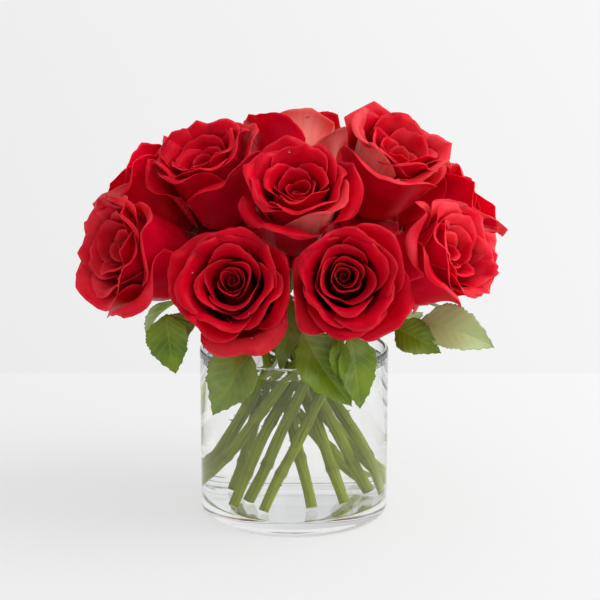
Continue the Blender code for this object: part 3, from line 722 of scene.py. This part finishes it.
def stemRoute(name, bloom):
    # straight through the water, bending to meet the rose, then the hip under it
    shape, seed, spread = stemShape, bloom["seed"], stemShape["knotSpread"]
    rng = random.Random(seed)
    foot = Vector((*stemLines[name][0], shape["floor"]))
    waist = Vector((*stemLines[name][1], shape["waistHeight"]))
    tilt = (waist - foot).angle(Vector((0, 0, 1)))
    foot.z += shape["clearance"] + shape["radius"] * math.sin(tilt)
    out = facing(*bloom["way"])
    neck = bloomPoint(bloom) - out * (shape["hipLength"] + shape["clearance"])
    along = (waist - foot).normalized()
    first, last = waist + along * shape["waistPull"], neck - out * shape["neckPull"]
    route, radii, scars = [], [], []
    knots = [(place + rng.uniform(-spread, spread), size) for place, size in shape["knots"]]
    for ring in range(shape["straightRings"]):
        share = ring / shape["straightRings"]
        swell = sum(size * math.exp(-((share - place) / shape["knotLength"]) ** 2) for place, size in knots)
        sway = math.sin(share * math.pi) * shape["waver"] * math.sin(share * shape["waverTurns"] + seed)
        route.append(foot.lerp(waist, share) + Vector((sway, -sway * 0.6, 0)))
        uneven = 1 + shape["swell"] * math.sin(share * shape["swellTurns"] + seed)
        radii.append(shape["radius"] * uneven + swell)
        scars.append(min(1.0, shape["scar"] * swell))
    for ring in range(shape["bendRings"] + 1):
        t = ring / shape["bendRings"]
        rest = 1 - t
        route.append(waist * rest ** 3 + first * 3 * t * rest ** 2 + last * 3 * t * t * rest + neck * t ** 3)
        radii.append(between((shape["radius"], shape["neckRadius"]), t))
    for ring in range(1, shape["hipRings"] + 1):
        t = ring / shape["hipRings"]
        route.append(neck + out * shape["hipLength"] * t)
        radii.append(keyed(shape["hip"], t))
    scars += [0.0] * (len(route) - len(scars))
    return route, radii, scars


def ringFrames(route):
    directions = []
    for index in range(len(route)):
        before, after = route[max(0, index - 1)], route[min(len(route) - 1, index + 1)]
        directions.append((after - before).normalized())
    side = directions[0].orthogonal().normalized()
    frames = []
    for direction in directions:
        side = (side - direction * side.dot(direction)).normalized()
        frames.append((side.copy(), direction.cross(side)))
    return frames


def addTube(bm, route, radii, sides, marks=None, layers=None):
    # a grid rolled up round the route, seam merged and ends filled; with marks it has a cut foot
    rings = len(route) - 1
    made = addGrid(bm, sides, rings)
    frames = ringFrames(route)
    for vert in made:
        turn = math.pi * vert.co.x
        ring = round((vert.co.y + 1) / 2 * rings)
        side, up = frames[ring]
        vert.co = route[ring] + (side * math.cos(turn) + up * math.sin(turn)) * radii[ring]
        if marks:
            vert[layers["scar"]] = marks[ring] * (0.55 + 0.45 * math.cos(turn * 2 + ring))
    bmesh.ops.remove_doubles(bm, verts=made, dist=0.002)
    ends = [edge for edge in bm.edges if edge.is_boundary]
    caps = bmesh.ops.holes_fill(bm, edges=ends, sides=sides)["faces"]
    if marks:
        low = min(caps, key=lambda face: face.calc_center_median().z)
        bmesh.ops.inset_individual(bm, faces=[low], thickness=radii[0] * stemShape["cutRim"])
        for vert in low.verts:
            vert[layers["cut"]] = 1.0
    faces = {face for vert in made if vert.is_valid for face in vert.link_faces}
    bmesh.ops.recalc_face_normals(bm, faces=list(faces))


def routePoint(route, height):
    for low, high in zip(route, route[1:]):
        if low.z <= height <= high.z:
            return low.lerp(high, (height - low.z) / (high.z - low.z))
    return route[-1].copy()


def addBlade(bm, base, tip, width, upper, shape, seed, curl):
    # a leaf or sepal as a grid: outline, cut edge, fold along the midrib, arch and curl
    rng, own = random.Random(seed), bladeShape
    base, tip, upper = Vector(base), Vector(tip), Vector(upper)
    length, forward = (tip - base).length, (tip - base).normalized()
    normal = (upper - forward * upper.dot(forward)).normalized()
    side = forward.cross(normal)
    sway, phase = rng.uniform(-own["sway"], own["sway"]), rng.uniform(0, 6)
    made = addGrid(bm, shape["columns"], shape["rows"])
    for vert in made:
        across, along = vert.co.x, (vert.co.y + 1) / 2
        half = width / 2 * keyed(shape["outline"], along)
        reach = 0.0
        if shape["teeth"]:
            saw = (along * shape["teeth"]) % 1.0 - own["toothPeak"]
            tooth = own["toothDepth"] * saw * abs(across) ** 6 * min(1.0, (1 - along) * 6)
            half *= 1 + tooth
            reach = tooth * length * own["toothPull"]
        spot = base.lerp(tip, along) + forward * reach
        spot += side * (across * half + sway * length * math.sin(math.pi * along))
        lift = shape["arch"] * length * 4 * along * (1 - along) + abs(across) * half * shape["fold"]
        # raised between the side veins
        slant = (along * leafLook["sideVeins"] - abs(across) * leafLook["veinSlant"]) * math.tau
        lift += shape["quilt"] * 0.5 * math.sin(slant) * min(1.0, 4 * abs(across)) * (1 - abs(across) ** 4)
        cup = math.sin(along * own["cupWaves"][0] + phase + across * own["cupWaves"][1])
        lift += shape["cup"] * cup * across * across
        lift -= curl * along * along * along * 2
        vert.co = spot + normal * lift
    return made


def addThorns(bm, route, rng):
    shape = stemShape
    for index in range(shape["thorns"]):
        ring = rng.randrange(4, shape["straightRings"])
        along = (route[ring + 1] - route[ring]).normalized()
        out = Matrix.Rotation(rng.uniform(0, math.tau), 3, along) @ along.orthogonal().normalized()
        middle = route[ring] + out * (shape["radius"] + shape["thornLength"] * shape["thornOut"])
        matrix = Matrix.Translation(middle) @ pointing((out - along * shape["thornDroop"]).normalized())
        bmesh.ops.create_cone(bm, cap_ends=True, segments=6, radius1=shape["thornWidth"],
                              radius2=shape["thornTip"], depth=shape["thornLength"], matrix=matrix)


def smoothRoute(points, pieces):
    # Catmull-Rom through the points
    ends = [points[0] * 2 - points[1]] + points + [points[-1] * 2 - points[-2]]
    route = []
    for a, b, c, d in zip(ends, ends[1:], ends[2:], ends[3:]):
        square, cube = 2 * a - 5 * b + 4 * c - d, 3 * b - a - 3 * c + d
        for step in range(pieces):
            t = step / pieces
            route.append(0.5 * (2 * b + (c - a) * t + square * t * t + cube * t ** 3))
    route.append(points[-1].copy())
    return route


def nearestOn(route, point):
    found = []
    for low, high in zip(route, route[1:]):
        along = high - low
        share = min(1.0, max(0.0, (point - low).dot(along) / along.length_squared))
        found.append(low + along * share)
    return min(found, key=lambda place: (place - point).length)


def addStalk(bm, start, leaf):
    # the leaf's stalk from the stem, and a short joint to each leaflet that starts off it
    shape, radius = stalkShape, stalkShape["radius"]
    points = [start] + [Vector(point) for point in leaf["stalk"]]
    stalk = smoothRoute(points, shape["pieces"])
    addTube(bm, stalk, [radius * shape["root"]] + [radius] * (len(stalk) - 1), shape["sides"])
    for leaflet in leaf["leaflets"]:
        base, tip = Vector(leaflet[0]), Vector(leaflet[1])
        near = nearestOn(points, base)
        if (near - base).length > radius:
            joint = [near, near.lerp(base, 0.6), base.lerp(tip, 0.05), base.lerp(tip, 0.12)]
            addTube(bm, joint, [radius * shape["joint"]] * 3 + [shape["jointTip"]], shape["jointSides"])


def makeStem(name, bloom):
    route, radii, scars = stemRoute(name, bloom)
    bm, layers = startMesh("stem", "scar", "cut")
    addTube(bm, route, radii, stemShape["sides"], scars, layers)
    addThorns(bm, route, random.Random(bloom["seed"] + 60))
    if name in leaves:
        addStalk(bm, routePoint(route, leaves[name]["height"]), leaves[name])
    stem = finishMesh("stem_" + name + "_skin", bm, (stemSkin,))
    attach(stem, "root")
    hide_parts("stem_" + name)


def finishBlades(name, bm, materials, shape):
    thing = finishMesh(name, bm, materials)
    thicken(thing, shape["thickness"], back=len(materials) - 1)
    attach(thing, "root")


def makeLeaf(name, leaf):
    bm, layers = startMesh("leaf", "paintedSheen")
    for index, leaflet in enumerate(leaf["leaflets"]):
        for vert in addBlade(bm, *leaflet, leafShape, len(name) * 10 + index, leafShape["curl"]):
            vert[layers["paintedSheen"]] = leaf.get("paintedSheen", {}).get(index, 0.0)
    finishBlades("leaf_" + name, bm, (leafFace, leafBack), leafShape)


def makeSepals(name, bloom):
    shape, rng = sepalShape, random.Random(bloom["seed"] + 3)
    out = facing(*bloom["way"])
    top = bloomPoint(bloom) - out * shape["below"]
    side = out.orthogonal().normalized()
    usual = shape["drop"][bloom["way"][1] > shape["upright"]]
    bm = startMesh("leaf")[0]
    for index in range(shape["count"]):
        turn = math.tau * index / shape["count"] + math.radians(bloom["spin"])
        spoke = Matrix.Rotation(turn, 3, out) @ side
        drop = math.radians(usual + rng.uniform(*shape["dropSpread"]))
        fall = (spoke * math.cos(drop) - out * math.sin(drop)) * shape["length"]
        tip = top + fall * rng.uniform(*shape["lengthSpread"])
        sepal = (top + spoke * shape["root"], tip, shape["width"], out)
        addBlade(bm, *sepal, shape, bloom["seed"] * 7 + index, shape["curl"] * rng.uniform(-0.2, 1))
    finishBlades("sepals_" + name, bm, (sepalSkin,), shape)


# base, tip, width, upper side and curl of a sepal that hangs over the vase's rim at the front
hangingSepal = ((-27, -50, 126), (-40, -70, 109), 9.0, (-0.3, -0.9, 0.3), 4.0)


def makeHangingSepal():
    bm = startMesh("leaf")[0]
    addBlade(bm, *hangingSepal[:4], sepalShape, 5, hangingSepal[4])
    finishBlades("sepal_hanging", bm, (sepalSkin,), sepalShape)


for name, bloom in blooms.items():
    makeStem(name, bloom)
    makeSepals(name, bloom)
for name, leaf in leaves.items():
    makeLeaf(name, leaf)
makeHangingSepal()
print("stems, sepals and leaves made")


# Vase, water and bubbles

vaseShape = {
    "radius": 63.5, "height": 113.5, "wall": 3.0, "floor": 10.0, "footRound": 4.0, "fillet": 2.0,
    "sides": 160, "kick": 1.2, "kickEnd": 0.87, "underside": (0, 0.2, 0.35, 0.5, 0.6, 0.68, 0.75, 0.8, 0.84),
    "wave": 0.1, "waveRings": 0.14, "waveTurns": 0.7, "sharp": 35.0,
}

waterShape = {
    "belowRim": 9.0, "overlap": 0.12, "meniscus": 0.9, "meniscusWidth": 4.5, "meniscusFall": 1.2, "steps": 8,
}

clearLook = {
    "glassTint": (0.995, 1.0, 0.998), "waterTint": (1.0, 1.0, 1.0),
    "glassIor": 1.5, "waterIor": 1.333, "bubbleIor": 0.75, "glintIor": 2.4, "mirror": 0.5, "shade": 0.82,
    "waves": 22.0, "waveDepth": 0.0004, "glassWaves": 0.02, "waterWaves": 0.01,
}


def arc(centre, radius, start, end, steps):
    points = []
    for step in range(steps + 1):
        angle = math.radians(between((start, end), step / steps))
        points.append((centre[0] + radius * math.cos(angle), centre[1] + radius * math.sin(angle)))
    return points


def lathe(profile, sides):
    bm = bmesh.new()
    verts = [bm.verts.new((radius, 0, height)) for radius, height in profile]
    edges = [bm.edges.new(pair) for pair in zip(verts, verts[1:])]
    bmesh.ops.spin(bm, geom=verts + edges, axis=(0, 0, 1), angle=math.tau, steps=sides, use_merge=True)
    bmesh.ops.remove_doubles(bm, verts=bm.verts, dist=0.001)
    bmesh.ops.recalc_face_normals(bm, faces=bm.faces)
    return bm


def clearMaterial(name, tint, ior, waviness, glint=0.0):
    # clear to the eye, and lamps shine through it
    made, tree, shader = newMaterial(name)
    look = clearLook
    waves = patches(objectPlace(tree), look["waves"], 2.0)
    feed(shader, {
        "Base Color": tint, "Transmission Weight": 1.0, "Roughness": 0.0, "IOR": ior,
        "Specular Tint": [look["mirror"]] * 3, "Coat Weight": glint, "Coat IOR": look["glintIor"],
        "Normal": relief(waves, waviness, look["waveDepth"]),
    })
    through = addNode(tree, "ShaderNodeBsdfTransparent", {0: [look["shade"] * part for part in tint]})
    shadow = addNode(tree, "ShaderNodeLightPath").outputs["Is Shadow Ray"]
    mix = addNode(tree, "ShaderNodeMixShader", {0: shadow, 1: shader.outputs[0], 2: through.outputs[0]})
    feed(tree.nodes["Material Output"], {"Surface": mix.outputs[0]})
    return made


def makeVase():
    shape = vaseShape
    radius, foot, fillet, floor = shape["radius"], shape["footRound"], shape["fillet"], shape["floor"]
    inner, half = radius - shape["wall"], shape["wall"] / 2
    profile = [(radius * part, shape["kick"] * (1 - part ** 4)) for part in shape["underside"]]
    profile.append((radius * shape["kickEnd"], 0))
    profile += arc((radius - foot, foot), foot, -90, 0, 10)
    profile += arc((radius - half, shape["height"] - half), half, 0, 180, 12)
    profile += arc((inner - fillet, floor + fillet), fillet, 0, -90, 8)
    # the inside floor dips a little to its middle
    profile += [(inner * 0.6, floor - 0.1), (0, floor - 0.3)]
    body = lathe(profile, shape["sides"])
    for vert in body.verts:
        # the pressed underside is a little uneven
        out = vert.co.xy.length
        if vert.co.z < shape["kick"] + 0.01 and out < radius * shape["kickEnd"] - 0.5:
            way = vert.co.xy.normalized() * shape["waveTurns"]
            vert.co.z += shape["wave"] * (0.5 + noise.noise((way.x, way.y, out * shape["waveRings"])))
    look = clearLook
    glass = clearMaterial("vase_glass", look["glassTint"], look["glassIor"], look["glassWaves"])
    vase = finishMesh("glass_vase", body, (glass,))
    vase.data.set_sharp_from_angle(angle=math.radians(shape["sharp"]))
    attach(vase, "root")
    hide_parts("vase")


def waterMaterial(name, ior, glint=0.0):
    return clearMaterial(name, clearLook["waterTint"], ior, clearLook["waterWaves"], glint)


def makeWater():
    # stands a hair into the glass, so that no air shows between them
    shape, fillet = waterShape, vaseShape["fillet"]
    radius = vaseShape["radius"] - vaseShape["wall"] + shape["overlap"]
    low, top = vaseShape["floor"] - 0.3 - shape["overlap"], vaseShape["height"] - shape["belowRim"]
    profile = [(0, low), (radius * 0.6, low + 0.2), (radius - fillet, low + 0.3)]
    profile += arc((radius - fillet, low + 0.3 + fillet), fillet, -90, 0, 8)[1:]
    for step in range(shape["steps"] + 1):
        part = step / shape["steps"]
        away = part * shape["meniscusWidth"]
        rise = shape["meniscus"] * math.exp(-away / shape["meniscusFall"]) * (1 - part)
        profile.append((radius - away, top + rise))
    profile += [(radius * 0.5, top), (0, top)]
    liquid = waterMaterial("vase_water", clearLook["waterIor"])
    water = finishMesh("water_body", lathe(profile, vaseShape["sides"]), (liquid,))
    water.data.set_sharp_from_angle(angle=math.radians(vaseShape["sharp"]))
    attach(water, "root")
    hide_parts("water")


bubbleShape = {"perStem": 8, "size": (0.25, 0.75), "low": 14.0, "high": 103.0, "gap": 0.3}


def bubbleSpots():
    # small air bubbles cling to the stems
    shape, spots = bubbleShape, []
    for name, bloom in blooms.items():
        rng = random.Random(bloom["seed"] + 40)
        route = stemRoute(name, bloom)[0]
        for index in range(shape["perStem"]):
            spot = routePoint(route, rng.uniform(shape["low"], shape["high"]))
            turn, size = rng.uniform(0, math.tau), between(shape["size"], rng.random() ** 2)
            out = Vector((math.cos(turn), math.sin(turn), 0.2)).normalized()
            spots.append((spot + out * (stemShape["radius"] + size + shape["gap"]), out, size))
    return spots


def makeDrops(name, spots, material, flat=1.0):
    bm = bmesh.new()
    for place, normal, size in spots:
        matrix = Matrix.Translation(place) @ pointing(normal) @ Matrix.Diagonal((1, 1, flat, 1))
        bmesh.ops.create_uvsphere(bm, u_segments=8, v_segments=6, radius=size, matrix=matrix)
    thing = finishMesh(name, bm, (material,))
    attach(thing, "root")


makeVase()
makeWater()
dewMaterial = waterMaterial("dew_drop", clearLook["waterIor"], dewShape["glint"])
makeDrops("dew", dewSpots, dewMaterial, dewShape["flat"])
makeDrops("bubbles", bubbleSpots(), waterMaterial("air_bubble", clearLook["bubbleIor"]))
print("vase, water, dew and bubbles made")


# Floor, lights and camera

studio = {
    # the floor's glows are painted light, a little stronger to the right
    "floor": (0.27, 0.27, 0.27), "floorGlow": (0.60, 0.60, 0.60), "wallGlow": (0.57, 0.57, 0.57),
    "rightwardLight": 0.072, "rightwardLightWidth": 0.35, "floorSize": 400000.0, "joint": 350.0, "jointWidth": 14.0,
    "sky": (0.98, 0.99, 1.0), "skyDim": 0.42, "skyBright": 0.88,
    "key": {"from": (1000, -120, 950), "strength": 1.5, "spread": 40.0, "colour": (1.0, 0.985, 0.97)},
    "bounces": 40,
    "cameraAim": (4, 0, 145), "cameraLift": 12.0, "cameraFar": 1000.0, "lens": 89.6,
}


def makeFloor():
    made, tree, shader = newMaterial("studio_floor")
    x, y = splitUp(objectPlace(tree))[:2]
    # the floor glows as well as taking light, painted light that keeps its cast shadows faint; behind the
    # joint it glows a little less, a painted step in light where the backdrop wall would start
    joint = studio["joint"]
    behind = rescale(y, joint * mm, (joint + studio["jointWidth"]) * mm)
    # painted light: the glow is a little brighter to the right
    slope = sums("DIVIDE", x, sums("ADD", sums("ABSOLUTE", y), 1.0))
    width, rightwardLight = studio["rightwardLightWidth"], studio["rightwardLight"]
    feed(shader, {
        "Base Color": studio["floor"], "Roughness": 0.7, "Specular IOR Level": 0.1,
        "Emission Color": blendColours(behind, studio["floorGlow"], studio["wallGlow"]),
        "Emission Strength": rescale(slope, -width, width, 1 - rightwardLight, 1 + rightwardLight),
    })
    bm = bmesh.new()
    bmesh.ops.create_grid(bm, x_segments=1, y_segments=1, size=studio["floorSize"] / 2)
    finishMesh("studio_floor", bm, (made,), smooth=False)


makeFloor()

# a wide soft sun, so that the floor is lit alike near and far
key = studio["key"]
lamp = bpy.data.lights.new("key_lamp", "SUN")
lamp.energy, lamp.angle, lamp.color = key["strength"], math.radians(key["spread"]), key["colour"]
sun = bpy.data.objects.new("key_lamp", lamp)
sun.rotation_euler = (-Vector(key["from"])).to_track_quat("-Z", "Y").to_euler()

# the sky is brighter on the lamp's side
scene = bpy.context.scene
scene.world = bpy.data.worlds.new("studio")
scene.world.use_nodes = True
skyTree = scene.world.node_tree
way = addNode(skyTree, "ShaderNodeTexCoord").outputs["Generated"]
inputs = {0: way, 1: Vector(key["from"]).normalized()}
toLamp = addNode(skyTree, "ShaderNodeVectorMath", inputs, operation="DOT_PRODUCT").outputs["Value"]
strength = rescale(toLamp, -0.9, 1.0, studio["skyDim"], studio["skyBright"])
feed(skyTree.nodes["Background"], {0: studio["sky"], 1: strength})

view = bpy.data.cameras.new("camera")
view.lens = studio["lens"]
camera = bpy.data.objects.new("camera", view)
back = facing(0, studio["cameraLift"])
camera.location = (Vector(studio["cameraAim"]) + back * studio["cameraFar"]) * mm
camera.rotation_euler = (-back).to_track_quat("-Z", "Y").to_euler()
for thing in (sun, camera):
    scene.collection.objects.link(thing)
scene.camera = camera
scene.view_settings.view_transform = "Standard"
# light runs many times through water and glass
cycles = scene.cycles
cycles.use_denoising = True
cycles.max_bounces = cycles.glossy_bounces = cycles.transmission_bounces = studio["bounces"]
print("studio made")

bpy.context.view_layer.update()
